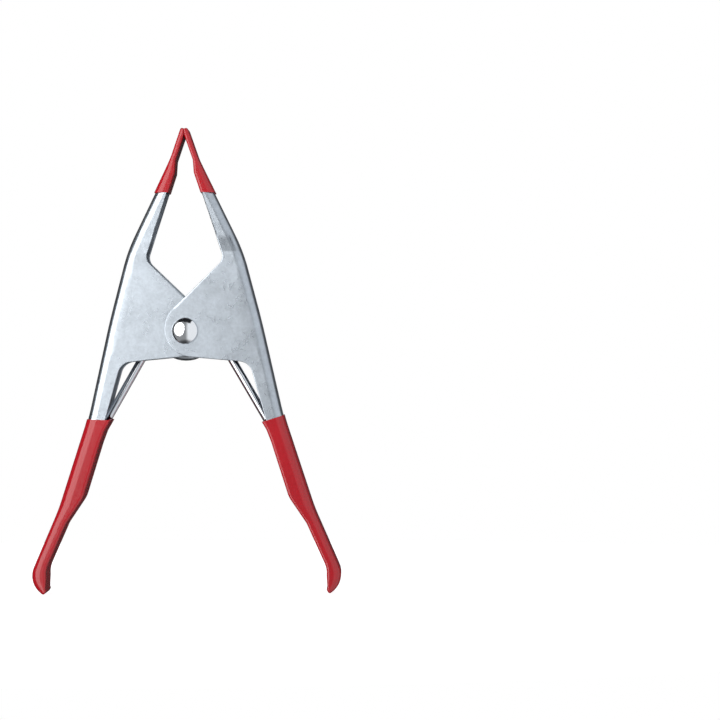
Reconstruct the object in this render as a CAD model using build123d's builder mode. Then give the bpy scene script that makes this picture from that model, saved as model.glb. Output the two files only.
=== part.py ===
"""Spring clamp of the stamped A-frame kind, 150 mm long, standing on its handle ends with the tips up.

Two sheet steel channels cross at a rivet, a torsion spring around the rivet spreads the handles, and
vinyl sleeves cover the tips and the handles. X runs across the clamp, Y through its depth with the
front at -Y, and Z up towards the tips. Both jaws are drawn on the +X side; the inner one is mirrored.
"""

import os
from math import atan2, cos, pi, radians, sin, tan

from build123d import *

os.makedirs("parts", exist_ok=True)

# ---- Driving dimensions, millimetres and degrees ----
SHEET = 1.0  # thickness of the jaw sheet
BEND = 2.6  # outside bend radius between web and flange
PIVOT_Z = 84.7  # height of the rivet's axis

INNER_HALF = 9.0  # inner jaw: half width over its ears and handle
OUTER_HALF = 10.15  # outer jaw: the same, leaving 0.15 between its ears and the inner ones
ARM_HALF = 8.0  # half width of both arms above the joggle
JOGGLE_Z = (109.8, 115.8)  # where the flanges step in from the ears to the arms
JOGGLE_R = (2.5, 8.0)  # crease at the ear, slow curve into the arm

EAR_R = 9.1  # rounded end of an ear
EAR_CENTRE = (2.6, 85.3)
EAR_SLOPE = 44.0  # the ear's upper edge, degrees above level

VINYL = 0.38  # sleeve wall
VINYL_FIT = 0.02  # gap between sleeve and steel
MIDDLE_GAP = 0.05  # from a closed tip to the middle plane
TIP_Z = 150.0
SOFT_EDGE = 0.3  # rounding along a handle sleeve's free side
TIP_RIM_Z = 129.2
OUTER_GRIP_RIM_Z = 57.3
INNER_GRIP_RIM_Z = 56.4

WIRE = 2.6
COIL_R = 8.3  # to the wire's centre
COIL_TURNS = 4 + 1 / 3
COIL_PITCH = 2.85
COIL_EASE = 40  # the last degrees of each end lie flat
COIL_STEPS = 78  # points that the coil is drawn through
LEG_ANGLE = 30  # leg from the vertical
LEG_GAP = 0.08  # between a leg and the sleeve's mouth
LEG_END_Z = 45.0  # where the wire meets the inside of the web

SHANK_R = 2.5
HEAD_R = 4.2
HEAD_RIM = 0.45
HEAD_H = 2.2
TAIL_R = 4.0
RUNNING = 0.05  # radial gap of the inner jaw on the shank

# ---- Outline corners of the +X jaw: x, z and corner radius ----
# The web's outer face from the tip down to the curled end of the handle.
SPINE = [
    (1.25, 148.3, 0),
    (4.05, 140.15, 20),
    (18.29, 110.8, 60),
    (24.25, 88.0, 300),
    (31.2, 56.8, 90),
    (40.85, 27.0, 60),
    (51.35, 2.68, 6.3),
    (45.05, 0.23, 0),
]
END_SLOPE = 2.45 / 6.3  # slope of the curled end's last straight
BELOW_END = (60, 0.28 + 15 * END_SLOPE, 0)  # on that straight's line, well outside the clamp
# The flange's free edge below the ear, from the ear's underside to the handle's end.
GRIP_EDGE = [
    (20.6, 74.5, 4.5),
    (27.85, 49.0, 20),
    (33.4, 31.3, 10),
    (39.0, 23.0, 4),
    (45.4, 8.6, 8),
    (45.4, 0.33, 0.1),
]
# The arm's free edge, from the gripping plate to the notch above the ear.
ARM_EDGE = [(3.4, 135.7, 1.5), (12.65, 107.66, 3.5)]
PLATE_START_Z = 139.2  # above this an arm is only its web


def parallel(corners, distance):
    """The same open path moved sideways, positive to the left of its direction of travel."""
    moved = []
    for i, (x, z, r) in enumerate(corners):
        before = corners[max(i - 1, 0)]
        here = corners[i]
        after = corners[min(i + 1, len(corners) - 1)]
        a = atan2(here[1] - before[1], here[0] - before[0]) if i else None
        b = atan2(after[1] - here[1], after[0] - here[0]) if after != here else a
        a = b if a is None else a
        reach = distance / cos((b - a) / 2)
        normal = (a + b) / 2 + pi / 2
        turn = 1 if sin(b - a) > 0 else -1
        moved.append((x + reach * cos(normal), z + reach * sin(normal), max(r - turn * distance, 0) if r else 0))
    return moved


def rounded(corners, closed=True):
    """Draws a path of straight lines with the given corner radii into the BuildLine that is open."""
    count = len(corners)
    ends = []
    for i, (x, z, r) in enumerate(corners):
        if not r:
            ends.append(((x, z), None, (x, z)))
            continue
        xa, za, _ = corners[(i - 1) % count]
        xb, zb, _ = corners[(i + 1) % count]
        ua = Vector(xa - x, za - z).normalized()
        ub = Vector(xb - x, zb - z).normalized()
        half = radians(ua.get_angle(ub)) / 2
        back = r / tan(half)
        middle = (ua + ub).normalized() * (r / sin(half) - r)
        here = Vector(x, z)
        ends.append((here + ua * back, here + middle, here + ub * back))
    for i, (start, middle, end) in enumerate(ends):
        if middle is not None:
            ThreePointArc(start, middle, end)
        if closed or i < count - 1:
            Line(end, ends[(i + 1) % count][0])


def side_profile(corners, front=40):
    """A closed outline facing the front, drawn on a plane that far in front of the middle."""
    with BuildSketch(Plane.XZ.offset(front)) as profile:
        with BuildLine():
            rounded(corners)
        make_face()
    return profile.sketch


def depth_profile(half, grow):
    """The clamp seen along X: wide at handle and ears, joggled in to the arm."""
    low, high = JOGGLE_Z
    edge = [(half, -20, 0), (half, low, JOGGLE_R[0]), (ARM_HALF, high, JOGGLE_R[1]), (ARM_HALF, 170, 0)]
    edge = parallel(edge, -grow)
    other = [(-y, z, r) for y, z, r in reversed(edge)]
    with BuildSketch(Plane.YZ.offset(-70)) as profile:
        with BuildLine():
            rounded(edge + other)
        make_face()
    return profile.sketch


def formed(half, grow, radius, top_z=160.0):
    """Solid inside the web's outer face moved out by grow, the flanges' faces and the bends."""
    web = [p for p in parallel(SPINE, grow) if p[1] < top_z - 3]
    first = 0 if top_z > SPINE[0][1] else 1
    lean = (SPINE[first + 1][0] - SPINE[first][0]) / (SPINE[first][1] - SPINE[first + 1][1])
    x, z, _ = web[0]
    web.insert(0, (x - lean * (top_z - z), top_z, 0))
    if not first:
        web.pop(1)
    x, z, _ = web[-1]
    web[-1] = (x - 12, z - 12 * END_SLOPE, 0)
    inside = [(-14, -4, 0), (-14, top_z, 0)]
    with BuildLine() as line:
        rounded(web, closed=False)
    wire = line.wires()[0]
    with BuildPart() as body:
        extrude(side_profile(web + inside), amount=-80)
        extrude(depth_profile(half, grow), amount=140, mode=Mode.INTERSECT)
        bends = body.edges().filter_by(
            lambda e: abs((e @ 0.5).Y) > 3 and wire.distance_to(Vector((e @ 0.5).X, (e @ 0.5).Z)) < 1e-3
        )
        fillet(bends, radius=radius)
    return body.part


def plate_edge():
    """The jaw's inner outline at the tip: the gripping plate's inner face and its step to the flange."""
    web = parallel(SPINE, -SHEET)
    return [web[0], (*web[1][:2], 1.8)]


def jaw_sides():
    """Everything inside the flange's outline: plate, arm, ear and handle, in one solid from front to back."""
    slope = radians(EAR_SLOPE)
    centre = Vector(*EAR_CENTRE)
    under = atan2(centre.Y - EAR_R - GRIP_EDGE[0][1], GRIP_EDGE[0][0] - centre.X)
    upper = centre + Vector(-sin(slope), cos(slope)) * EAR_R
    lower = centre + Vector(-sin(under), -cos(under)) * EAR_R
    edge = plate_edge() + ARM_EDGE + [(upper.X, upper.Y, 0)]
    grip = [(lower.X, lower.Y, 0)] + GRIP_EDGE + [BELOW_END]
    with BuildPart() as body:
        with BuildSketch(Plane.XZ.offset(40)):
            with BuildLine():
                rounded(edge, closed=False)
                ThreePointArc(upper, centre - Vector(EAR_R, 0), lower)
                rounded(grip, closed=False)
                Polyline(BELOW_END[:2], (60, SPINE[0][1]), SPINE[0][:2], edge[0][:2])
            make_face()
        extrude(amount=-80)
    return body.part


def jaw(half, hole_r):
    """One stamped jaw: the bent sheet, its flanges trimmed and its two ears pierced for the rivet."""
    with BuildPart() as body:
        add(formed(half, 0, BEND))
        add(formed(half, -SHEET, BEND - SHEET, top_z=PLATE_START_Z - 0.9), mode=Mode.SUBTRACT)
        add(jaw_sides(), mode=Mode.INTERSECT)
        with BuildSketch(Plane.XZ.offset(40)):
            with Locations((0, PIVOT_Z)):
                Circle(hole_r)
        extrude(amount=-80, mode=Mode.SUBTRACT)
    return body.part


def pocket(half, inside, grow, soften=0.0):
    """The bent channel's outer shape closed across its open side, whose edges are rounded by soften."""
    with BuildLine() as line:
        rounded(inside)
    wire = line.wires()[0]
    with BuildPart() as body:
        add(formed(half, grow, BEND + grow))
        extrude(side_profile(inside), amount=-80, mode=Mode.INTERSECT)
        if soften:
            free = body.edges().filter_by(
                lambda e: abs((e @ 0.5).Y) > 3 and wire.distance_to(Vector((e @ 0.5).X, (e @ 0.5).Z)) < 1e-3
            )
            fillet(free, radius=soften)
    return body.part


def sleeve(half, hull, hollow, rim, soften=0.0):
    """A dipped vinyl pocket over one end of a jaw, open at the rim plane."""
    with BuildPart() as body:
        add(pocket(half, hull, VINYL, soften))
        split(bisect_by=rim, keep=Keep.TOP)
        add(pocket(half, hollow, VINYL_FIT), mode=Mode.SUBTRACT)
    return body.part


def tip_sleeve(half):
    """The red cover of an arm's tip: a pocket round the flanges that narrows to a pad on the plate."""
    edge = plate_edge() + ARM_EDGE
    pad = parallel(edge, -VINYL)
    lean = (SPINE[1][0] - SPINE[0][0]) / (SPINE[0][1] - SPINE[1][1])
    meet_z = pad[0][1] - (MIDDLE_GAP - pad[0][0]) / lean
    low_z = ARM_EDGE[-1][1]
    back = [(60, low_z, 0), (60, TIP_Z - 4, 0), (3.0, TIP_Z - 4, 0), (0.8, TIP_Z, 0.5)]
    hull = [(MIDDLE_GAP, TIP_Z, 0.33), (MIDDLE_GAP, meet_z, 1.0), *pad[1:-1], (pad[-1][0], low_z, 0), *back]
    hollow = parallel(edge, -VINYL_FIT)
    top_z = SPINE[0][1] + VINYL_FIT
    start_x = hollow[0][0] - lean * (top_z - hollow[0][1])
    inside = [(start_x, top_z, 0), *hollow[1:], (60, low_z - 2, 0), (60, top_z, 0)]
    return sleeve(half, hull, inside, Plane(origin=(10, 0, TIP_RIM_Z)))


def grip_sleeve(half, rim_z, rim_tilt):
    """The long red sleeve over a handle, bulged at its mouth over the spring's leg."""
    bulge = leg_edge(-LEG_GAP)
    edge = [(*bulge(64.0), 0), (*bulge(52.8), 1.5), *GRIP_EDGE[1:], BELOW_END]
    hull = parallel(edge, -VINYL) + [(60, 64, 0)]
    inside = parallel(edge, -VINYL_FIT) + [(60, 66, 0)]
    rim = Plane(origin=(31, 0, rim_z), z_dir=(sin(radians(rim_tilt)), 0, -cos(radians(rim_tilt))))
    return sleeve(half, hull, inside, rim, SOFT_EDGE)


def leg_edge(outward):
    """The side of the spring's leg facing the middle, as a function from height to a point."""
    slope = radians(LEG_ANGLE)
    reach = COIL_R - WIRE / 2 + outward

    def at(z):
        along = (PIVOT_Z + reach * sin(slope) - z) / cos(slope)
        return (reach * cos(slope) + along * sin(slope), z)

    return at


def coil_point(turned):
    """Centre of the wire after that many degrees, from the +X leg at the front round to the other leg."""
    total = 360 * COIL_TURNS
    eased = min(turned, COIL_EASE) ** 2 / (2 * COIL_EASE) + max(turned - COIL_EASE, 0)
    last = max(turned - (total - COIL_EASE), 0)
    eased -= last**2 / (2 * COIL_EASE)
    depth = (eased - (total - COIL_EASE) / 2) * COIL_PITCH / 360
    angle = radians(LEG_ANGLE + turned)
    return Vector(COIL_R * cos(angle), depth, PIVOT_Z + COIL_R * sin(angle))


with BuildPart() as outer_jaw:
    add(jaw(OUTER_HALF, SHANK_R))
outer_jaw.part.label = "outer_jaw"
export_step(outer_jaw.part, "parts/outer_jaw.step")

with BuildPart() as inner_jaw:
    mirror(jaw(INNER_HALF, SHANK_R + RUNNING), about=Plane.YZ)
inner_jaw.part.label = "inner_jaw"
export_step(inner_jaw.part, "parts/inner_jaw.step")

with BuildPart() as outer_tip_sleeve:
    add(tip_sleeve(OUTER_HALF))
outer_tip_sleeve.part.label = "outer_tip_sleeve"
export_step(outer_tip_sleeve.part, "parts/outer_tip_sleeve.step")

with BuildPart() as inner_tip_sleeve:
    mirror(tip_sleeve(INNER_HALF), about=Plane.YZ)
inner_tip_sleeve.part.label = "inner_tip_sleeve"
export_step(inner_tip_sleeve.part, "parts/inner_tip_sleeve.step")

with BuildPart() as outer_handle_sleeve:
    add(grip_sleeve(OUTER_HALF, OUTER_GRIP_RIM_Z, 17))
outer_handle_sleeve.part.label = "outer_handle_sleeve"
export_step(outer_handle_sleeve.part, "parts/outer_handle_sleeve.step")

with BuildPart() as inner_handle_sleeve:
    mirror(grip_sleeve(INNER_HALF, INNER_GRIP_RIM_Z, 2), about=Plane.YZ)
inner_handle_sleeve.part.label = "inner_handle_sleeve"
export_step(inner_handle_sleeve.part, "parts/inner_handle_sleeve.step")

coil = [coil_point(360 * COIL_TURNS * i / COIL_STEPS) for i in range(COIL_STEPS + 1)]
with BuildPart() as torsion_spring:
    with BuildLine() as wire:
        slope = radians(LEG_ANGLE)
        length = (coil[0].Z - LEG_END_Z) / cos(slope)
        down = Vector(sin(slope), 0, -cos(slope))
        other_down = Vector(-sin(slope), 0, -cos(slope))
        Line(coil[0] + down * length, coil[0])
        Spline(*coil, tangents=(-down, other_down), tangent_scalars=(1, 1))
        Line(coil[-1], coil[-1] + other_down * length)
    with BuildSketch(Plane(origin=coil[0] + down * length, z_dir=-down)):
        Circle(WIRE / 2)
    sweep(path=wire.wires()[0])
torsion_spring.part.label = "torsion_spring"
export_step(torsion_spring.part, "parts/torsion_spring.step")

with BuildPart() as pivot_rivet:
    with BuildSketch(Plane.XZ.offset(OUTER_HALF)):
        with Locations((0, PIVOT_Z)):
            Circle(SHANK_R)
    extrude(amount=-2 * OUTER_HALF)
    for way, radius in ((-1, HEAD_R), (1, TAIL_R)):
        dome = (radius**2 + (HEAD_H - HEAD_RIM) ** 2) / (2 * (HEAD_H - HEAD_RIM))
        section = Plane(origin=(0, way * OUTER_HALF, PIVOT_Z), x_dir=(1, 0, 0), z_dir=(0, 0, way))
        with BuildSketch(section):
            with BuildLine():
                Polyline((0, HEAD_H), (0, 0), (radius, 0), (radius, HEAD_RIM))
                RadiusArc((radius, HEAD_RIM), (0, HEAD_H), -dome)
            make_face()
        revolve(axis=Axis((0, 0, PIVOT_Z), (0, 1, 0)))
pivot_rivet.part.label = "pivot_rivet"
export_step(pivot_rivet.part, "parts/pivot_rivet.step")
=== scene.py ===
"""Spring clamp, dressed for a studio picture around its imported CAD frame.

Two plated sheet steel jaws, a domed rivet, a torsion spring and four dipped vinyl sleeves. Sizes are in
millimetres in the clamp's own frame: X across, Y through its depth with the front at -Y, Z up from the
handle ends to the tips. Shapes are drawn on the +X side and mirrored for the inner jaw.
"""

import logging
import math
from dataclasses import dataclass
from enum import Enum
from typing import Callable, Iterable, Sequence

import bmesh
import bpy
from mathutils import Matrix, Vector


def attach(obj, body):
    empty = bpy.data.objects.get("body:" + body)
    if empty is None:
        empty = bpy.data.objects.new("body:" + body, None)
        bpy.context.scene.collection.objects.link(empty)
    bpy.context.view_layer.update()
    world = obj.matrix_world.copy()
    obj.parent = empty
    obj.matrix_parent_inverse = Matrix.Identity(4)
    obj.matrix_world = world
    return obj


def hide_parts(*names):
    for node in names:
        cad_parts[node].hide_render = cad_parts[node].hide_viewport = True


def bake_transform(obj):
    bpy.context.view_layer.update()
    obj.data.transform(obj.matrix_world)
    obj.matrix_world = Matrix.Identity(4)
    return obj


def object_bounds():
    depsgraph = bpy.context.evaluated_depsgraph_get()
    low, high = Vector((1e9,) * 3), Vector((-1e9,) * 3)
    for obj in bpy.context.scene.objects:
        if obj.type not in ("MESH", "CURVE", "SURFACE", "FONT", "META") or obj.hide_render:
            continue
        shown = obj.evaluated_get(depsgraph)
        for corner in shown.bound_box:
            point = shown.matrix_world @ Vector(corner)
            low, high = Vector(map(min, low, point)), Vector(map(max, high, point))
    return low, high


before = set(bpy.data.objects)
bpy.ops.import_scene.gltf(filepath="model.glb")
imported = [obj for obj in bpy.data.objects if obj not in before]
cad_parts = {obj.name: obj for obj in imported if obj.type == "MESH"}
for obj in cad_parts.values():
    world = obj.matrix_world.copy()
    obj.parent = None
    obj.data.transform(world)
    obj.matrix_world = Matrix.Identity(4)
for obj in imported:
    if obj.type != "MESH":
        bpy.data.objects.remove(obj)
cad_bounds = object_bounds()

logging.basicConfig(level=logging.INFO, format="%(message)s")
log = logging.getLogger("spring_clamp")

MM = 0.001
PIVOT = Vector((0.0, 0.0, 84.7))
Corner = tuple[float, float, float]


class Side(Enum):
    """Which jaw a piece belongs to: the outer one is at +X, the inner one at -X."""

    OUTER = 1
    INNER = -1


# ---------------------------------------------------------------------------------------------- sizes


@dataclass(frozen=True)
class SheetSize:
    """The pressed steel that both jaws share.

    The joggle gives the heights between which the flanges step in from the ears to the arm, and its radii
    are those of the crease below and of the curve above. The hole's margin is cleared of faces and filled
    again up to its round edge; its reach tells the cleared rim from the sheet's other edges.
    """

    thickness: float = 1.0
    bend: float = 2.6
    ear_half_outer: float = 10.15
    ear_half_inner: float = 9.0
    arm_half: float = 8.0
    joggle: tuple[float, float] = (109.8, 115.8)
    joggle_radius: tuple[float, float] = (2.5, 8.0)
    edge_break: float = 0.2
    edge_angle: float = math.radians(50)
    hole_outer: float = 2.5
    hole_inner: float = 2.55
    hole_margin: float = 0.35
    hole_reach: float = 3.0
    hole_sides: int = 48

    def half(self, side: Side) -> float:
        """Half width over the ears and the handle."""
        return self.ear_half_outer if side is Side.OUTER else self.ear_half_inner


@dataclass(frozen=True)
class SleeveSize:
    """Wall and roundings of a vinyl sleeve, and how finely its section is divided.

    The inner gap is left between the sleeve and the steel. The least x and z keep the sleeve off the middle
    plane and the ground. The bulge gives two heights on the swelling over the spring's leg. A corner's share
    is the most of the section's depth that its radius may take, at the web and at the free side.
    """

    wall: float = 0.38
    inner_gap: float = 0.03
    soft: float = 0.8
    end_round: float = 0.6
    rim_round: float = 0.14
    rim_angle: float = math.radians(55)
    least_x: float = 0.04
    least_z: float = 0.02
    least_round: tuple[float, float] = (0.15, 0.12)
    corner_share: tuple[float, float] = (0.55, 0.38)
    soft_loss: float = 0.6
    corner_steps: int = 7
    side_steps: int = 8
    cap_steps: int = 7
    bulge_z: tuple[float, float] = (64.0, 52.8)
    bulge_round: float = 1.5


@dataclass(frozen=True)
class SleeveCap:
    """Which way and how far a sleeve's closed end runs past its jaw."""

    way: tuple[float, float, float]
    length: float


@dataclass(frozen=True)
class SleeveMouth:
    """A point that the open rim passes through, and the rim's lean in degrees."""

    x: float
    z: float
    lean: float = 0.0


@dataclass(frozen=True)
class SpringSize:
    """Round wire, coil and legs, with the leg's lean and the coil's easing in degrees.

    Half depth is the coil's centre line from the middle plane to each leg, and the foot is where a leg ends.
    """

    wire: float = 2.6
    coil_radius: float = 8.3
    turns: float = 4 + 1 / 3
    half_depth: float = 6.0167
    leg_angle: float = 30.0
    leg_gap: float = 0.08
    foot_z: float = 45.0
    end_break: float = 0.25
    end_shrink: float = 0.84
    ease_angle: float = 40.0
    around: int = 20
    steps: int = 208


@dataclass(frozen=True)
class RivetSize:
    """Domed head in front, formed head behind and the shank between: radii, and heights above the seat."""

    shank: float = 2.5
    head: float = 4.2
    tail: float = 4.0
    rim: float = 0.45
    height: float = 2.2
    seat: float = 10.15
    chamfer: float = 0.12
    dome_steps: int = 12
    around: int = 72


# Corners are x, z and corner radius: the web's outside, then the free edges of the arm and of the grip.
SPINE: list[Corner] = [
    (1.25, 148.3, 0),
    (4.05, 140.15, 20),
    (18.29, 110.8, 60),
    (24.25, 88.0, 300),
    (31.2, 56.8, 90),
    (40.85, 27.0, 60),
    (51.35, 2.68, 6.3),
    (45.05, 0.23, 0),
]
ARM_EDGE: list[Corner] = [(3.4, 135.7, 1.5), (12.65, 107.66, 3.5)]
GRIP_EDGE: list[Corner] = [
    (20.6, 74.5, 4.5),
    (27.85, 49.0, 20),
    (33.4, 31.3, 10),
    (39.0, 23.0, 4),
    (45.4, 8.6, 8),
]
FLANGE_END: Corner = (45.4, 4.5, 0)

# The sleeves' two ends: the closed end past the jaw, and the open mouth round it.
TIP_CAP = SleeveCap((-0.34, 0, 1), 1.6)
TIP_MOUTH = SleeveMouth(10, 129.2)
HANDLE_END: Corner = (45.4, 1.6, 0)
HANDLE_CAP = SleeveCap((-0.94, 0, -0.2), 0.45)
HANDLE_MOUTHS = {Side.OUTER: SleeveMouth(31, 57.3, 17.0), Side.INNER: SleeveMouth(31, 56.4, 2.0)}

# The ear's round end, and how steeply its upper edge rises.
EAR_RADIUS = 9.1
EAR_CENTRE = Vector((2.6, 0.0, 85.3))
EAR_SLOPE = math.radians(44.0)

# How many segments a search runs on, and the distances at which points and a mirrored seam are one.
LOOK_AHEAD = 60
SAME_POINT = 1e-4
SEAM = 1e-3


# ---------------------------------------------------------------------------------------- flat outlines


def rounded(corners: Sequence[Corner], step: float) -> list[Vector]:
    """Points along an open path of straight lines whose corners are rounded.

    Args:
        corners: x, z and corner radius of each corner.
        step: spacing of the points along straights; arcs get about half of it.

    Returns:
        The points, as vectors with y = 0.
    """
    spots = [Vector((x, 0.0, z)) for x, z, _ in corners]
    path: list[Vector] = [spots[0]]
    for i in range(1, len(spots)):
        here, radius = spots[i], corners[i][2]
        if i == len(spots) - 1 or not radius:
            path.append(here)
            continue
        back = (spots[i - 1] - here).normalized()
        on = (spots[i + 1] - here).normalized()
        half = back.angle(on) / 2
        centre = here + (back + on).normalized() * radius / math.sin(half)
        first = here + back * radius / math.tan(half) - centre
        sweep = math.pi - 2 * half
        count = max(3, math.ceil(radius * sweep / (0.5 * step)))
        turn = 1 if back.cross(on).y > 0 else -1
        arc = [-turn * sweep * k / count for k in range(count + 1)]
        path += [centre + Matrix.Rotation(angle, 3, "Y") @ first for angle in arc]
    dense: list[Vector] = [path[0]]
    for a, b in zip(path, path[1:]):
        count = max(1, math.ceil((b - a).length / step))
        dense += [a.lerp(b, k / count) for k in range(1, count + 1)]
    return [p for i, p in enumerate(dense) if i == 0 or (p - dense[i - 1]).length > SAME_POINT]


def inner_line() -> list[Corner]:
    """The gripping plate's inner face: the first spine corners moved in by the sheet's thickness."""
    a, b, c = (Vector((x, 0, z)) for x, z, _ in SPINE[:3])
    first, second = (b - a).normalized(), (c - b).normalized()
    side, other = Vector((first.z, 0, -first.x)), Vector((second.z, 0, -second.x))
    both = (side + other) / (1 + side.dot(other))
    return [(a.x + side.x, a.z + side.z, 0), (b.x + both.x, b.z + both.z, 1.8)]


def ear_path(step: float) -> list[Vector]:
    """The ear's round end, from its upper straight edge to its underside."""
    under = math.atan2(EAR_CENTRE.z - EAR_RADIUS - GRIP_EDGE[0][1], GRIP_EDGE[0][0] - EAR_CENTRE.x)
    start, end = math.pi / 2 + EAR_SLOPE, 3 * math.pi / 2 - under
    count = math.ceil(EAR_RADIUS * (end - start) / step)
    angles = [start + (end - start) * k / count for k in range(count + 1)]
    return [EAR_CENTRE + EAR_RADIUS * Vector((math.cos(t), 0, math.sin(t))) for t in angles]


def flange_edge(step: float) -> list[Vector]:
    """The whole free edge of a flange, from the tip plate round the ear to the handle's end."""
    ear = ear_path(step)
    arm = rounded([*inner_line(), *ARM_EDGE, (ear[0].x, ear[0].z, 0)], step)
    grip = rounded([(ear[-1].x, ear[-1].z, 0), *GRIP_EDGE, FLANGE_END], step)
    return arm + ear[1:] + grip[1:]


def foot_on(line: Sequence[Vector], point: Vector, after: int) -> tuple[Vector, int]:
    """The point of a line nearest to a given point.

    Args:
        line: points of the line.
        point: the given point.
        after: first segment to look at; past the start, the search reaches LOOK_AHEAD segments.

    Returns:
        The nearest point and the number of its segment.
    """
    best, spot, found = math.inf, line[after], after
    end = len(line) - 1
    for i in range(after, min(end, after + LOOK_AHEAD) if after else end):
        a, b = line[i], line[i + 1]
        t = max(0.0, min(1.0, (point - a).dot(b - a) / (b - a).length_squared))
        near = a.lerp(b, t)
        if (near - point).length < best - 1e-9:
            best, spot, found = (near - point).length, near, i
    return spot, found


def stations(edge: Sequence[Vector], step: float = 0.6) -> list[tuple[Vector, Vector]]:
    """Pairs of web point and matching free-edge point, from the tip to the handle's end."""
    line = rounded(SPINE, step)
    pairs: list[tuple[Vector, Vector]] = []
    last = 0
    for point in edge:
        foot, last = foot_on(line, point, last)
        pairs.append((foot, point))
    return pairs


# ------------------------------------------------------------------------------------------ mesh helpers


def new_object(name: str, bm: bmesh.types.BMesh, smooth: bool = True) -> bpy.types.Object:
    """Turns a bmesh drawn in millimetres into an object at the origin, in metres."""
    bmesh.ops.scale(bm, vec=(MM, MM, MM), verts=bm.verts)
    bmesh.ops.recalc_face_normals(bm, faces=bm.faces)
    for face in bm.faces:
        face.smooth = smooth
    mesh = bpy.data.meshes.new(name)
    bm.to_mesh(mesh)
    bm.free()
    obj = bpy.data.objects.new(name, mesh)
    bpy.context.scene.collection.objects.link(obj)
    return obj


def sweep_rows(bm: bmesh.types.BMesh, rows: Iterable[Sequence[Vector]], closed: bool) -> list[list]:
    """Skins rows of points: the first row is a chain of edges, extruded and set on each next row.

    Args:
        bm: mesh to build in.
        rows: equally long rows of points.
        closed: whether each row is a ring.

    Returns:
        The vertices of every row.
    """
    rows = list(rows)
    chain = [bm.verts.new(p) for p in rows[0]]
    count = len(chain)
    edges = [bm.edges.new((chain[i], chain[(i + 1) % count])) for i in range(count if closed else count - 1)]
    laid = [chain]
    for row in rows[1:]:
        made = bmesh.ops.extrude_edge_only(bm, edges=edges)["geom"]
        fresh = {v for v in made if isinstance(v, bmesh.types.BMVert)}
        follow = []
        for v in laid[-1]:
            follow.append(next(e.other_vert(v) for e in v.link_edges if e.other_vert(v) in fresh))
        for v, p in zip(follow, row):
            v.co = p
        laid.append(follow)
        edges = [bm.edges.get((follow[i], follow[(i + 1) % count])) for i in range(len(edges))]
    return laid


def modifier(obj: bpy.types.Object, kind: str, **settings: object) -> bpy.types.Modifier:
    """Adds a live modifier with the given settings."""
    mod = obj.modifiers.new(kind.title(), kind)
    for key, value in settings.items():
        setattr(mod, key, value)
    return mod


# -------------------------------------------------------------------------------------------- materials

Socket = bpy.types.NodeSocket
SURFACE_OUTPUTS = {"Color": "Color", "Roughness": "Float", "Height": "Float"}


class Graph:
    """Short calls for wiring shader nodes in one tree."""

    def __init__(self, tree: bpy.types.NodeTree) -> None:
        """Starts on a tree and empties it."""
        self.tree = tree
        tree.nodes.clear()

    def node(
        self, kind: str, inputs: dict[object, object] | None = None, **settings: object
    ) -> bpy.types.Node:
        """Adds one node.

        Args:
            kind: Blender's node type.
            inputs: by input name or number, a value to set or an output socket to link.
            **settings: properties of the node.

        Returns:
            The node.
        """
        node = self.tree.nodes.new(kind)
        for key, value in settings.items():
            setattr(node, key, value)
        for key, value in (inputs or {}).items():
            if isinstance(value, bpy.types.NodeSocket):
                self.tree.links.new(value, node.inputs[key])
            else:
                node.inputs[key].default_value = value
        return node

    def math(self, operation: str, *values: object) -> Socket:
        """One scalar operation on numbers or sockets."""
        return self.node("ShaderNodeMath", dict(enumerate(values)), operation=operation).outputs[0]

    def noise(
        self, vector: Socket, scale: float, detail: float = 3.0, rough: float = 0.55, warp: float = 0.0
    ) -> Socket:
        """A noise value on the given coordinates."""
        inputs = {"Vector": vector, "Scale": scale, "Detail": detail, "Roughness": rough, "Distortion": warp}
        return self.node("ShaderNodeTexNoise", inputs).outputs[0]

    def wobble(self, value: Socket, amount: float, about: object) -> Socket:
        """A base value moved up and down by a noise centred on one half."""
        return self.math("MULTIPLY_ADD", self.math("SUBTRACT", value, 0.5), amount, about)

    def tinted(self, base: Socket, tone: Socket) -> Socket:
        """A colour made lighter or darker by a tone."""
        grey = self.node("ShaderNodeCombineColor", {0: tone, 1: tone, 2: tone}).outputs[0]
        return self.mix(1.0, base, grey, "MULTIPLY")

    def send(self, values: dict[str, Socket], targets: dict[str, Socket]) -> None:
        """Links each value to the input socket of the same name."""
        for key, value in values.items():
            self.tree.links.new(value, targets[key])

    def stretch(self, vector: Socket, x: float, y: float, z: float) -> Socket:
        """Coordinates scaled along the axes, so that a noise on them becomes streaks."""
        return self.node("ShaderNodeMapping", {"Vector": vector, "Scale": (x, y, z)}).outputs[0]

    def spread(
        self, value: Socket, low: float, high: float, to_low: float = 0.0, to_high: float = 1.0
    ) -> Socket:
        """Moves a value smoothly from one range to another and clamps it there."""
        inputs = {0: value, 1: low, 2: high, 3: to_low, 4: to_high}
        return self.node("ShaderNodeMapRange", inputs, interpolation_type="SMOOTHSTEP").outputs[0]

    def mix(self, factor: object, a: object, b: object, blend: str = "MIX") -> Socket:
        """Mixes two colours."""
        inputs = {"Factor": factor, 6: a, 7: b}
        return self.node("ShaderNodeMix", inputs, data_type="RGBA", blend_type=blend).outputs[2]


def object_coordinates(graph: Graph) -> Socket:
    """The Object output of the piece's own coordinates."""
    return graph.node("ShaderNodeTexCoord").outputs["Object"]


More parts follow.
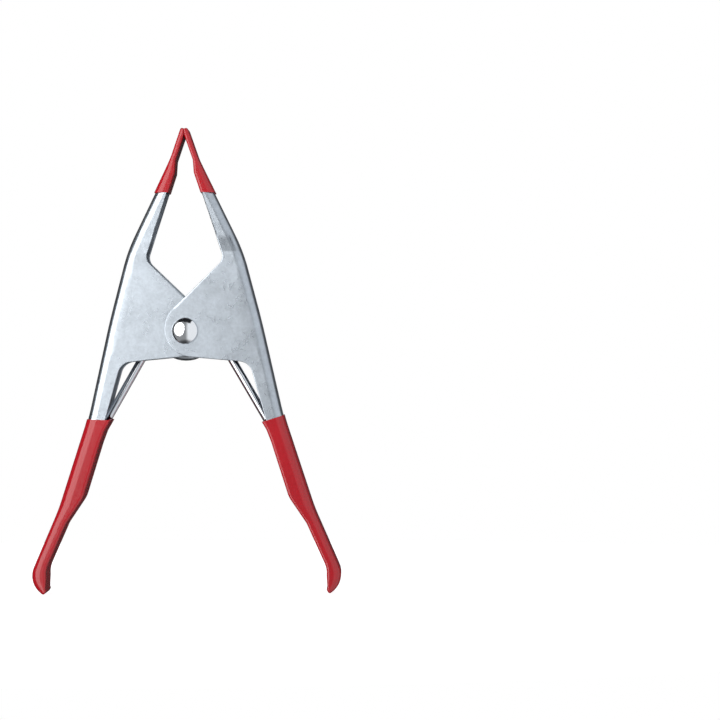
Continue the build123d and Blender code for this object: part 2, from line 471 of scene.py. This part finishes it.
def group(
    name: str, inputs: dict[str, tuple[str, object]], outputs: dict[str, str]
) -> tuple[Graph, dict[str, Socket], dict[str, Socket]]:
    """An empty shader group with its sockets.

    Args:
        name: the group's name.
        inputs: by name, the short socket type and default of each input.
        outputs: by name, the short socket type of each output.

    Returns:
        The graph inside, its input sockets by name, and its output sockets by name.
    """
    tree = bpy.data.node_groups.new(name, "ShaderNodeTree")
    graph = Graph(tree)
    for key, (kind, default) in inputs.items():
        socket = tree.interface.new_socket(key, in_out="INPUT", socket_type=f"NodeSocket{kind}")
        if default is not None:
            socket.default_value = default
    for key, kind in outputs.items():
        tree.interface.new_socket(key, in_out="OUTPUT", socket_type=f"NodeSocket{kind}")
    start, end = graph.node("NodeGroupInput"), graph.node("NodeGroupOutput")
    return graph, {k: start.outputs[k] for k in inputs}, {k: end.inputs[k] for k in outputs}


def mottle_group() -> bpy.types.NodeTree:
    """Cloudy blotches, fine speckle and faint handling scratches of zinc plate."""
    sockets = {
        "Vector": ("Vector", None),
        "Base": ("Color", (0.6, 0.6, 0.6, 1)),
        "Strength": ("Float", 1.0),
    }
    graph, given, out = group("zinc_mottle", sockets, SURFACE_OUTPUTS)
    vector = given["Vector"]
    cloud = graph.noise(vector, 95, 4, 0.6, 0.6)
    speck = graph.noise(vector, 900, 3, 0.65)
    patch = graph.spread(graph.noise(vector, 260, 5, 0.62, 1.2), 0.42, 0.66)
    line = graph.noise(graph.stretch(vector, 2600, 2600, 70), 1.0, 2, 0.5)
    scratch = graph.spread(line, 0.68, 0.75)
    tone = graph.wobble(speck, 0.45, graph.wobble(cloud, 0.5, 1.0))
    tone = graph.math("MULTIPLY_ADD", patch, 0.07, tone)
    tone = graph.math("MULTIPLY_ADD", graph.math("SUBTRACT", tone, 1.0), given["Strength"], 1.0)
    colour = graph.tinted(given["Base"], tone)
    rough = graph.math("MULTIPLY_ADD", patch, -0.05, 0.26)
    rough = graph.math("MULTIPLY_ADD", cloud, 0.12, rough)
    height = graph.math("MULTIPLY_ADD", speck, 0.5, graph.math("MULTIPLY", patch, 0.6))
    height = graph.math("MULTIPLY_ADD", scratch, -0.35, height)
    graph.send({"Color": colour, "Roughness": rough, "Height": height}, out)
    return graph.tree


def skin_group() -> bpy.types.NodeTree:
    """Slow flow and fine pebble of a dipped vinyl skin."""
    sockets = {"Vector": ("Vector", None), "Base": ("Color", (0.5, 0, 0, 1))}
    graph, given, out = group("vinyl_skin", sockets, SURFACE_OUTPUTS)
    vector = given["Vector"]
    flow = graph.noise(graph.stretch(vector, 1, 1, 0.3), 160, 3, 0.5, 0.4)
    pebble = graph.noise(vector, 1100, 3, 0.5)
    colour = graph.tinted(given["Base"], graph.wobble(flow, 0.22, 1.0))
    rough = graph.math("MULTIPLY_ADD", pebble, 0.12, 0.1)
    height = graph.math("MULTIPLY_ADD", pebble, 0.35, graph.math("MULTIPLY", flow, 1.0))
    graph.send({"Color": colour, "Roughness": rough, "Height": height}, out)
    return graph.tree


def drawn_group() -> bpy.types.NodeTree:
    """Fine lines along a stretched coordinate, from drawing or turning."""
    sockets = {"Vector": ("Vector", None), "Fineness": ("Float", 1.0)}
    graph, given, out = group("drawn_lines", sockets, {"Roughness": "Float", "Height": "Float"})
    inputs = {0: given["Vector"], "Scale": given["Fineness"]}
    scaled = graph.node("ShaderNodeVectorMath", inputs, operation="SCALE")
    lines = graph.noise(scaled.outputs[0], 1.0, 3, 0.6)
    rough = graph.math("MULTIPLY_ADD", lines, 0.12, 0.06)
    graph.send({"Roughness": rough, "Height": lines}, out)
    return graph.tree


@dataclass(frozen=True)
class Finish:
    """One material: its slot, which is the name it is given, its colour and how it is surfaced."""

    slot: str
    colour: tuple[float, float, float]

    def base(self) -> tuple[bpy.types.Material, Graph, bpy.types.Node]:
        """A new material with an empty graph, and its main shader wired to the output."""
        material = bpy.data.materials.new(self.slot)
        material.use_nodes = True
        graph = Graph(material.node_tree)
        shader = graph.node("ShaderNodeBsdfPrincipled")
        graph.node("ShaderNodeOutputMaterial", {"Surface": shader.outputs[0]})
        return material, graph, shader

    def make(self) -> bpy.types.Material:
        """Builds the material."""
        raise NotImplementedError

    def bump(
        self, graph: Graph, shader: bpy.types.Node, height: Socket, strength: float, distance: float
    ) -> None:
        """Wires a height into the shader's normal; the distance is in millimetres."""
        inputs = {"Height": height, "Strength": strength, "Distance": distance * MM}
        graph.tree.links.new(graph.node("ShaderNodeBump", inputs).outputs[0], shader.inputs["Normal"])


@dataclass(frozen=True)
class ZincPlate(Finish):
    """Bright mottled zinc on pressed sheet."""

    def make(self) -> bpy.types.Material:
        """Builds the material."""
        material, graph, shader = self.base()
        inner = graph.node("ShaderNodeGroup", node_tree=mottle_group())
        graph.tree.links.new(object_coordinates(graph), inner.inputs["Vector"])
        inner.inputs["Base"].default_value = (*self.colour, 1)
        graph.tree.links.new(inner.outputs["Color"], shader.inputs["Base Color"])
        graph.tree.links.new(inner.outputs["Roughness"], shader.inputs["Roughness"])
        shader.inputs["Metallic"].default_value = 1.0
        self.bump(graph, shader, inner.outputs["Height"], 0.35, 0.02)
        return material


@dataclass(frozen=True)
class RedVinyl(Finish):
    """Glossy dipped vinyl."""

    def make(self) -> bpy.types.Material:
        """Builds the material."""
        material, graph, shader = self.base()
        skin = graph.node("ShaderNodeGroup", node_tree=skin_group())
        graph.tree.links.new(object_coordinates(graph), skin.inputs["Vector"])
        skin.inputs["Base"].default_value = (*self.colour, 1)
        graph.tree.links.new(skin.outputs["Color"], shader.inputs["Base Color"])
        graph.tree.links.new(skin.outputs["Roughness"], shader.inputs["Roughness"])
        shader.inputs["IOR"].default_value = 1.54
        shader.inputs["Subsurface Weight"].default_value = 0.08
        shader.inputs["Subsurface Radius"].default_value = (1.0, 0.15, 0.1)
        shader.inputs["Subsurface Scale"].default_value = 0.5 * MM
        self.bump(graph, shader, skin.outputs["Height"], 0.25, 0.05)
        return material


@dataclass(frozen=True)
class SpringSteel(Finish):
    """Drawn wire, bright with fine lines."""

    def make(self) -> bpy.types.Material:
        """Builds the material."""
        material, graph, shader = self.base()
        drawn = graph.node("ShaderNodeGroup", node_tree=drawn_group())
        graph.tree.links.new(graph.stretch(object_coordinates(graph), 1, 1, 0.12), drawn.inputs["Vector"])
        drawn.inputs["Fineness"].default_value = 3000
        graph.tree.links.new(drawn.outputs["Roughness"], shader.inputs["Roughness"])
        shader.inputs["Base Color"].default_value = (*self.colour, 1)
        shader.inputs["Metallic"].default_value = 1.0
        self.bump(graph, shader, drawn.outputs["Height"], 0.15, 0.02)
        return material


@dataclass(frozen=True)
class PolishedRivet(Finish):
    """Polished dome with the faintest handling marks."""

    def make(self) -> bpy.types.Material:
        """Builds the material."""
        material, graph, shader = self.base()
        coords = object_coordinates(graph)
        haze = graph.noise(coords, 420, 3, 0.6)
        marks = graph.spread(graph.noise(graph.stretch(coords, 300, 300, 2600), 1.0, 2), 0.66, 0.74)
        rough = graph.math("MULTIPLY_ADD", haze, 0.1, graph.math("MULTIPLY_ADD", marks, 0.1, 0.05))
        graph.tree.links.new(rough, shader.inputs["Roughness"])
        shader.inputs["Base Color"].default_value = (*self.colour, 1)
        shader.inputs["Metallic"].default_value = 1.0
        self.bump(graph, shader, haze, 0.3, 0.12)
        return material


# ------------------------------------------------------------------------------------------------ pieces


def place(
    obj: bpy.types.Object, material: bpy.types.Material, body: str | None, node: str
) -> None:
    """Dresses a finished piece, ties it to its body and shows it in place of its CAD node."""
    obj.data.materials.append(material)
    if body:
        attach(obj, body)
    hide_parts(node)
    log.info("%s: %d faces before modifiers", obj.name, len(obj.data.polygons))


@dataclass(frozen=True)
class StampedJaw:
    """A jaw pressed from one sheet: web, two flanges, ears pierced for the rivet and the joggle.

    A flange shallower than the bend is part of the bend's arc alone, as at the two ends.
    """

    side: Side
    sheet: SheetSize
    step: float = 0.6
    web_steps: int = 4
    flange_steps: int = 14
    bend_steps: int = 7
    shallow_steps: int = 21
    least_flat: float = 0.05
    least_turn: float = math.acos(0.98)
    foot_z: float = -20.0
    head_z: float = 170.0

    def half_at(self) -> Callable[[float], float]:
        """The outside half width as a function of height, with the joggle's two bends.

        Returns:
            A function from a height to the half width there.
        """
        low, high = self.sheet.joggle
        half, arm = self.sheet.half(self.side), self.sheet.arm_half
        crease, curve = self.sheet.joggle_radius
        ends = (half, self.foot_z, 0), (arm, self.head_z, 0)
        line = rounded([ends[0], (half, low, crease), (arm, high, curve), ends[1]], 0.4)

        def at(z: float) -> float:
            for a, b in zip(line, line[1:]):
                if z <= b.z:
                    return a.x + (b.x - a.x) * (z - a.z) / (b.z - a.z)
            return arm

        return at

    def section(self, web: Vector, edge: Vector, half_at: Callable[[float], float]) -> list[Vector]:
        """Half of one cross-section, from the middle of the web round the bend to the flange's edge.

        Args:
            web: point on the web's outside.
            edge: matching point on the flange's free edge.
            half_at: the outside half width at a height.

        Returns:
            The points in order; a shallow section stops part way round the bend.
        """
        bend, depth = self.sheet.bend, (edge - web).length
        inward = (edge - web) / depth
        whole = depth > bend + self.least_flat
        turned = math.pi / 2
        if not whole:
            left = (bend - depth) / (bend - self.sheet.thickness)
            turned = max(self.least_turn, math.acos(max(0.0, min(1.0, left))))
        flat = half_at(web.z) - bend
        spots = [(0.0, flat * k / self.web_steps - (flat + bend)) for k in range(self.web_steps + 1)]
        arc = self.bend_steps if whole else self.shallow_steps
        angles = [turned * k / arc for k in range(1, arc + 1)]
        spots += [(bend * (1 - math.cos(t)), bend * (math.sin(t) - 1)) for t in angles]
        if whole:
            parts = self.flange_steps
            spots += [(bend + (depth - bend) * k / parts, 0.0) for k in range(1, parts + 1)]
        row = []
        for u, back in spots:
            point = web + inward * u
            point.y = half_at(point.z) + back
            row.append(point)
        row[0].y = 0.0
        return row

    def pierce(self, bm: bmesh.types.BMesh) -> None:
        """Cuts the rivet's round hole through the flange: faces out, a circle in, the gap filled."""
        sheet = self.sheet
        radius = sheet.hole_outer if self.side is Side.OUTER else sheet.hole_inner
        half = sheet.half(self.side)

        def away(co: Vector) -> float:
            return math.hypot(co.x - PIVOT.x, co.z - PIVOT.z)

        flange = [f for f in bm.faces if f.calc_center_median().y > half / 2]
        gone = [f for f in flange if min(away(v.co) for v in f.verts) < radius + sheet.hole_margin]
        bmesh.ops.delete(bm, geom=gone, context="FACES")
        open_edges = [e for e in bm.edges if e.is_boundary and e.verts[0].co.y > half / 2]
        rim = [e for e in open_edges if max(away(v.co) for v in e.verts) < radius + sheet.hole_reach]
        where = Matrix.Translation((PIVOT.x, half, PIVOT.z)) @ Matrix.Rotation(math.pi / 2, 4, "X")
        circle = bmesh.ops.create_circle(
            bm, cap_ends=False, segments=sheet.hole_sides, radius=radius, matrix=where
        )
        loop = {e for v in circle["verts"] for e in v.link_edges}
        bmesh.ops.triangle_fill(bm, use_beauty=True, use_dissolve=False, edges=[*rim, *loop])

    def build(self) -> bpy.types.Object:
        """Draws the outside surface of half the jaw, mirrors it and gives it its thickness."""
        half_at = self.half_at()
        bm = bmesh.new()
        edge = flange_edge(self.step)
        rows = [self.section(web, point, half_at) for web, point in stations(edge, self.step)]
        sweep_rows(bm, rows, closed=False)
        self.pierce(bm)
        bmesh.ops.mirror(bm, geom=bm.verts[:] + bm.edges[:] + bm.faces[:], axis="Y", merge_dist=SEAM)
        if self.side is Side.INNER:
            bmesh.ops.scale(bm, vec=(-1, 1, 1), verts=bm.verts)
        bmesh.ops.remove_doubles(bm, verts=bm.verts, dist=SEAM)
        obj = new_object(f"{self.side.name.lower()}_jaw_sheet", bm)
        modifier(obj, "SOLIDIFY", thickness=self.sheet.thickness * MM, offset=-1.0, use_even_offset=True)
        bevel = modifier(obj, "BEVEL", width=self.sheet.edge_break * MM, segments=3, limit_method="ANGLE")
        bevel.angle_limit, bevel.use_clamp_overlap = self.sheet.edge_angle, False
        modifier(obj, "WEIGHTED_NORMAL", keep_sharp=True)
        return obj


@dataclass(frozen=True)
class VinylSleeve:
    """A dipped sock of soft vinyl over one end of a jaw: closed at the end, open at its rim.

    The edge is the path of the section's free side, drawn from the tip towards the handle's end.
    """

    side: Side
    name: str
    sheet: SheetSize
    size: SleeveSize
    half: float
    edge: tuple[Corner, ...]
    cap: SleeveCap
    mouth: SleeveMouth
    at_tip: bool
    step: float = 0.5

    def ring(self, web: Vector, edge: Vector, inset: float = 0.0) -> list[Vector]:
        """One closed cross-section, its web corners round like the bend and its free corners small.

        Args:
            web: point on the web's outside.
            edge: matching point on the flange's free edge.
            inset: how far the section is drawn in, for the rounding of the closed end.

        Returns:
            The points in order, the straight sides divided more finely than the corners.
        """
        inward = (edge - web).normalized()
        grow = self.size.wall - inset
        low, high, wide = -grow, (edge - web).length + grow, self.half + grow
        depth = high - low
        (web_least, free_least), (web_share, free_share) = self.size.least_round, self.size.corner_share
        web_round = max(web_least, min(self.sheet.bend + self.size.wall - inset, web_share * depth))
        free_round = max(free_least, min(self.size.soft - inset * self.size.soft_loss, free_share * depth))
        spots: list[tuple[float, float]] = []
        corners = (
            (low, wide, web_round, 180),
            (high, wide, free_round, 90),
            (high, -wide, free_round, 0),
            (low, -wide, web_round, -90),
        )
        turns = self.size.corner_steps
        for u, y, r, start in corners:
            cu, cy = u + (r if u == low else -r), y + (-r if y > 0 else r)
            arc = [math.radians(start - 90 * k / turns) for k in range(turns + 1)]
            spots += [(cu + r * math.cos(t), cy + r * math.sin(t)) for t in arc]
        full: list[Vector] = []
        for i, (u, y) in enumerate(spots):
            next_u, next_y = spots[(i + 1) % len(spots)]
            parts = self.size.side_steps if i % (turns + 1) == turns else 1
            for k in range(parts):
                offset = Vector((0, y + (next_y - y) * k / parts, 0))
                full.append(web + inward * (u + (next_u - u) * k / parts) + offset)
        return full

    def build(self) -> bpy.types.Object:
        """Sweeps the cross-section to the closed end, caps it and trims the mouth at the rim."""
        size = self.size
        pairs = stations(rounded(self.edge, self.step), self.step)
        if self.at_tip:
            pairs.reverse()
        rows = [self.ring(web, point) for web, point in pairs]
        web, point = pairs[-1]
        way, turn = Vector(self.cap.way), size.end_round
        for k in range(1, size.cap_steps + 1):
            t = k / size.cap_steps * math.pi / 2
            shift = way * (self.cap.length - turn + turn * math.sin(t))
            rows.append([p + shift for p in self.ring(web, point, turn * (1 - math.cos(t)))])
        for p in (p for row in rows for p in row):
            p.x, p.z = max(p.x, size.least_x), max(p.z, size.least_z)
        bm = bmesh.new()
        laid = sweep_rows(bm, rows, closed=True)
        bm.faces.new(laid[-1])
        lean = math.radians(self.mouth.lean)
        normal = Vector((-math.sin(lean), 0, math.cos(lean))) * (-1 if self.at_tip else 1)
        bmesh.ops.bisect_plane(
            bm,
            geom=bm.verts[:] + bm.edges[:] + bm.faces[:],
            dist=SAME_POINT,
            plane_co=(self.mouth.x, 0, self.mouth.z),
            plane_no=normal,
            clear_outer=True,
        )
        if self.side is Side.INNER:
            bmesh.ops.scale(bm, vec=(-1, 1, 1), verts=bm.verts)
        obj = new_object(self.name, bm)
        wall = (size.wall - size.inner_gap) * MM
        modifier(obj, "SOLIDIFY", thickness=wall, offset=-1.0, use_even_offset=True)
        bevel = modifier(obj, "BEVEL", width=size.rim_round * MM, segments=3, limit_method="ANGLE")
        bevel.angle_limit = size.rim_angle
        return obj


@dataclass(frozen=True)
class TorsionSpring:
    """The wound wire round the rivet, one leg reaching down into each handle."""

    size: SpringSize

    def build(self) -> bpy.types.Object:
        """Winds the coil from the front leg to the rear one and draws both legs out."""
        size = self.size
        bm = bmesh.new()
        start = math.radians(size.leg_angle)
        radial = Vector((math.cos(start), 0, math.sin(start)))
        along = Vector((math.sin(start), 0, -math.cos(start)))
        centre = PIVOT + radial * size.coil_radius + Vector((0, -size.half_depth, 0))
        frame_at = Matrix((radial, Vector((0, 1, 0)), along)).transposed().to_4x4()
        where = Matrix.Translation(centre) @ frame_at
        ring = bmesh.ops.create_circle(
            bm, cap_ends=False, segments=size.around, radius=size.wire / 2, matrix=where
        )
        first = list({e for v in ring["verts"] for e in v.link_edges})
        turn = 2 * math.pi * size.turns / size.steps
        ease = max(1, round(math.radians(size.ease_angle) / turn))
        rises = [min(k + 0.5, size.steps - k - 0.5, ease) for k in range(size.steps)]
        total = sum(rises)
        edges = first
        for rise in rises:
            made = bmesh.ops.spin(
                bm,
                geom=edges,
                cent=PIVOT,
                axis=(0, -1, 0),
                dvec=(0, 2 * size.half_depth * rise / total, 0),
                angle=turn,
                steps=1,
                use_duplicate=False,
            )
            edges = [g for g in made["geom_last"] if isinstance(g, bmesh.types.BMEdge)]
        self.leg(bm, first, along)
        self.leg(bm, edges, Vector((-along.x, 0, along.z)))
        return new_object("wound_spring", bm)

    def leg(self, bm: bmesh.types.BMesh, edges: list, along: Vector) -> None:
        """Extrudes one straight leg and closes its slightly broken end.

        Args:
            bm: mesh that holds the coil.
            edges: the ring of edges where the coil ends.
            along: unit direction of the leg.
        """
        centre = sum((e.verts[0].co + e.verts[1].co for e in edges), Vector()) / (2 * len(edges))
        length = (centre.z - self.size.foot_z) / -along.z
        broken = 1 - self.size.end_break / length
        rings = ((0.02, 1.0), (0.34, 1.0), (0.67, 1.0), (broken, 1.0), (1.0, self.size.end_shrink))
        for reach, shrink in rings:
            made = bmesh.ops.extrude_edge_only(bm, edges=edges)["geom"]
            verts = [g for g in made if isinstance(g, bmesh.types.BMVert)]
            lines = [g for g in made if isinstance(g, bmesh.types.BMEdge)]
            edges = [e for e in lines if all(v in verts for v in e.verts)]
            middle = sum((v.co for v in verts), Vector()) / len(verts)
            bmesh.ops.translate(bm, vec=centre + along * length * reach - middle, verts=verts)
            if shrink < 1:
                space = Matrix.Translation(-(centre + along * length * reach))
                bmesh.ops.scale(bm, vec=(shrink, shrink, shrink), space=space, verts=verts)
        bmesh.ops.contextual_create(bm, geom=edges)


@dataclass(frozen=True)
class PivotRivet:
    """Domed head, shank and formed tail in one turned solid."""

    size: RivetSize

    def build(self) -> bpy.types.Object:
        """Spins the half profile round the hinge's axis."""
        size = self.size
        profile: list[tuple[float, float]] = [(0.0, -size.seat - size.height)]
        for way, radius in ((-1, size.head), (1, size.tail)):
            rise = size.height - size.rim
            ball = (radius**2 + rise**2) / (2 * rise)
            reach = math.asin(radius / ball)
            angles = [reach * k / size.dome_steps for k in range(1, size.dome_steps + 1)]
            dome = [(ball * math.sin(t), size.height - ball * (1 - math.cos(t))) for t in angles]
            side = [(r, way * (size.seat + h)) for r, h in dome]
            side += [
                (radius, way * (size.seat + size.chamfer)),
                (radius - size.chamfer, way * size.seat),
                (size.shank, way * size.seat),
            ]
            profile += side if way < 0 else [*reversed(side), (0.0, size.seat + size.height)]
        bm = bmesh.new()
        chain = [bm.verts.new((r, y, PIVOT.z)) for r, y in profile]
        edges = [bm.edges.new(pair) for pair in zip(chain, chain[1:])]
        bmesh.ops.spin(
            bm,
            geom=chain + edges,
            cent=PIVOT,
            axis=(0, 1, 0),
            angle=2 * math.pi,
            steps=size.around,
            use_merge=True,
        )
        bmesh.ops.remove_doubles(bm, verts=bm.verts, dist=SAME_POINT)
        obj = new_object("domed_rivet", bm)
        modifier(obj, "WEIGHTED_NORMAL", keep_sharp=True)
        return obj


class Jaw:
    """One jaw with its two sleeves."""

    def __init__(self, side: Side, sheet: SheetSize, vinyl: SleeveSize) -> None:
        """Keeps the sizes that the jaw's pieces share."""
        self.side, self.sheet, self.vinyl = side, sheet, vinyl

    def tip_sleeve(self) -> VinylSleeve:
        """The sleeve over the gripping tip."""
        path = (*inner_line(), ARM_EDGE[0], (*ARM_EDGE[1][:2], 0))
        name = f"{self.side.name.lower()}_tip_dip"
        half = self.sheet.arm_half
        return VinylSleeve(self.side, name, self.sheet, self.vinyl, half, path, TIP_CAP, TIP_MOUTH, True)

    def handle_sleeve(self) -> VinylSleeve:
        """The long sleeve over the handle, bulged at its mouth over the spring's leg."""
        leg = SpringSize()
        slope = math.radians(leg.leg_angle)
        reach = leg.coil_radius - leg.wire / 2 - leg.leg_gap

        def bulge(z: float) -> tuple[float, float]:
            """The point at this height on the inner side of the spring's leg."""
            along = (PIVOT.z + reach * math.sin(slope) - z) / math.cos(slope)
            return reach * math.cos(slope) + along * math.sin(slope), z

        top, low = self.vinyl.bulge_z
        edge = ((*bulge(top), 0), (*bulge(low), self.vinyl.bulge_round), *GRIP_EDGE[1:], HANDLE_END)
        mouth = HANDLE_MOUTHS[self.side]
        name = f"{self.side.name.lower()}_handle_dip"
        half = self.sheet.half(self.side)
        return VinylSleeve(self.side, name, self.sheet, self.vinyl, half, edge, HANDLE_CAP, mouth, False)


# ------------------------------------------------------------------------------------------------ studio


LIT_POINT = Vector((0, 0, 0.08))


@dataclass(frozen=True)
class Card:
    """A flat panel facing the clamp: a soft light, or a dark flag when its power is nought.

    Its place is an azimuth (0 in front, negative to the left), an elevation and a distance in metres.
    """

    name: str
    azimuth: float
    elevation: float
    distance: float
    size: tuple[float, float]
    power: float
    colour: tuple[float, float, float] = (1.0, 1.0, 1.0)

    def place(self, obj: bpy.types.Object) -> None:
        """Sets the panel where it stands and turns it to the clamp."""
        turn, lift = math.radians(self.azimuth), math.radians(self.elevation)
        away = Vector((math.sin(turn) * math.cos(lift), -math.cos(turn) * math.cos(lift), math.sin(lift)))
        obj.location = LIT_POINT + away * self.distance
        obj.rotation_mode = "QUATERNION"
        obj.rotation_quaternion = (-away).to_track_quat("-Z", "Y")

    def light(self) -> bpy.types.Object:
        """An oval area light the size of the panel."""
        data = bpy.data.lights.new(self.name, "AREA")
        data.shape, data.size, data.size_y = "ELLIPSE", *self.size
        data.energy, data.color = self.power, self.colour
        return bpy.data.objects.new(self.name, data)

    def flag(self) -> bpy.types.Object:
        """A dark card that only reflections see."""
        bm = bmesh.new()
        bmesh.ops.create_grid(bm, x_segments=1, y_segments=1, size=0.5)
        bmesh.ops.scale(bm, vec=(self.size[0] / MM, self.size[1] / MM, 1), verts=bm.verts)
        obj = new_object(self.name, bm, smooth=False)
        obj.visible_camera = obj.visible_diffuse = obj.visible_shadow = False
        material = bpy.data.materials.new(self.name)
        material.use_nodes = True
        graph = Graph(material.node_tree)
        glow = graph.node("ShaderNodeEmission", {"Color": (*self.colour, 1), "Strength": 1.0})
        graph.node("ShaderNodeOutputMaterial", {"Surface": glow.outputs[0]})
        obj.data.materials.append(material)
        return obj

    def build(self) -> None:
        """Adds the panel to the studio."""
        obj = self.light() if self.power else self.flag()
        if self.power:
            bpy.context.scene.collection.objects.link(obj)
        self.place(obj)


@dataclass(frozen=True)
class Studio:
    """White sweep, soft light from the left, long lens.

    The lens stands square on, a little to the right. Its field is the width seen at the clamp, in metres,
    its sensor is in millimetres and its roll in degrees.
    """

    centre: tuple[float, float, float] = (0.0561, -0.0095, 0.075)
    distance: float = 1.1
    field: float = 0.2308
    roll: float = -0.33
    sensor: float = 36.0
    floor_radius: float = 0.32
    floor_gap: float = 0.0001

    def camera(self) -> None:
        """Sets up the long lens square on to the clamp's front."""
        data = bpy.data.cameras.new("long_lens")
        data.sensor_width, data.lens = self.sensor, self.sensor * self.distance / self.field
        data.clip_start, data.clip_end = 0.05, 50
        obj = bpy.data.objects.new("long_lens", data)
        bpy.context.scene.collection.objects.link(obj)
        obj.location = Vector(self.centre) - Vector((0, self.distance, 0))
        turn = Matrix.Rotation(math.radians(90), 4, "X") @ Matrix.Rotation(math.radians(self.roll), 4, "Z")
        obj.rotation_euler = turn.to_euler()
        bpy.context.scene.camera = obj

    def world(self) -> None:
        """White where the lens sees it; for the light a soft room, brighter at right and dark behind."""
        world = bpy.data.worlds.new("studio")
        world.use_nodes = True
        graph = Graph(world.node_tree)
        seen = graph.node("ShaderNodeLightPath").outputs["Is Camera Ray"]
        outward = graph.node("ShaderNodeTexCoord").outputs["Generated"]
        way = graph.node("ShaderNodeSeparateXYZ", {0: outward}).outputs
        rightward = graph.spread(way["X"], 0.02, 0.4, 0.3, 0.95)
        downward = graph.spread(way["Z"], -0.98, -0.75, 0.2, 1.0)
        backward = graph.spread(way["Y"], 0.1, 0.6, 1.0, 0.1)
        level = graph.math("MULTIPLY", backward, graph.math("MULTIPLY", rightward, downward))
        room = graph.node("ShaderNodeBackground", {"Color": (0.93, 0.96, 1.0, 1), "Strength": level})
        white = graph.node("ShaderNodeBackground", {"Color": (1, 1, 1, 1), "Strength": 1.0})
        both = graph.node("ShaderNodeMixShader", {0: seen, 1: room.outputs[0], 2: white.outputs[0]})
        graph.node("ShaderNodeOutputWorld", {"Surface": both.outputs[0]})
        bpy.context.scene.world = world

    def floor(self) -> None:
        """A pale floor that the lens sees as white, and that polished faces don't mirror."""
        bm = bmesh.new()
        bmesh.ops.create_circle(bm, cap_ends=True, segments=128, radius=self.floor_radius / MM)
        obj = new_object("floor", bm, smooth=False)
        obj.location.z = cad_bounds[0][2] - self.floor_gap
        obj.visible_glossy = False
        material = bpy.data.materials.new("floor")
        material.use_nodes = True
        graph = Graph(material.node_tree)
        diffuse = graph.node("ShaderNodeBsdfDiffuse", {"Color": (0.8, 0.8, 0.8, 1)})
        glow = graph.node("ShaderNodeEmission", {"Color": (1, 1, 1, 1), "Strength": 0.8})
        lit = graph.node("ShaderNodeAddShader", {0: diffuse.outputs[0], 1: glow.outputs[0]})
        seen = graph.node("ShaderNodeLightPath").outputs["Is Camera Ray"]
        both = graph.node("ShaderNodeMixShader", {0: seen, 1: diffuse.outputs[0], 2: lit.outputs[0]})
        graph.node("ShaderNodeOutputMaterial", {"Surface": both.outputs[0]})
        obj.data.materials.append(material)

    def build(self) -> None:
        """Puts the studio up round the clamp."""
        scene = bpy.context.scene
        scene.view_settings.view_transform = "Standard"
        scene.view_settings.look = "None"
        self.camera()
        self.world()
        self.floor()
        dark = (0.015, 0.015, 0.018)
        for card in (
            Card("key", -38, 10, 0.9, (1.14, 1.5), 12),
            Card("dark_left", -90, -8, 0.9, (0.45, 1.7), 0, dark),
            Card("dark_top", -10, 76, 0.9, (1.3, 0.65), 0, dark),
        ):
            card.build()


def main() -> None:
    """Builds the clamp piece by piece, dresses it and puts up the studio."""
    zinc = ZincPlate("plated_steel", (0.468, 0.51, 0.553)).make()
    vinyl = RedVinyl("red_vinyl", (0.42, 0.006, 0.013)).make()
    wire = SpringSteel("spring_wire", (0.62, 0.64, 0.67)).make()
    chrome = PolishedRivet("polished_rivet", (0.86, 0.87, 0.88)).make()
    sheet, dip = SheetSize(), SleeveSize()
    for side, body in ((Side.OUTER, "outer"), (Side.INNER, "inner")):
        jaw = Jaw(side, sheet, dip)
        place(StampedJaw(side, sheet).build(), zinc, body, f"{body}_jaw")
        place(jaw.tip_sleeve().build(), vinyl, body, f"{body}_tip_sleeve")
        place(jaw.handle_sleeve().build(), vinyl, body, f"{body}_handle_sleeve")
    place(PivotRivet(RivetSize()).build(), chrome, "outer", "pivot_rivet")
    spring = TorsionSpring(SpringSize()).build()
    place(spring, wire, None, "torsion_spring")
    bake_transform(spring)
    Studio().build()


if __name__ == "__main__":
    main()
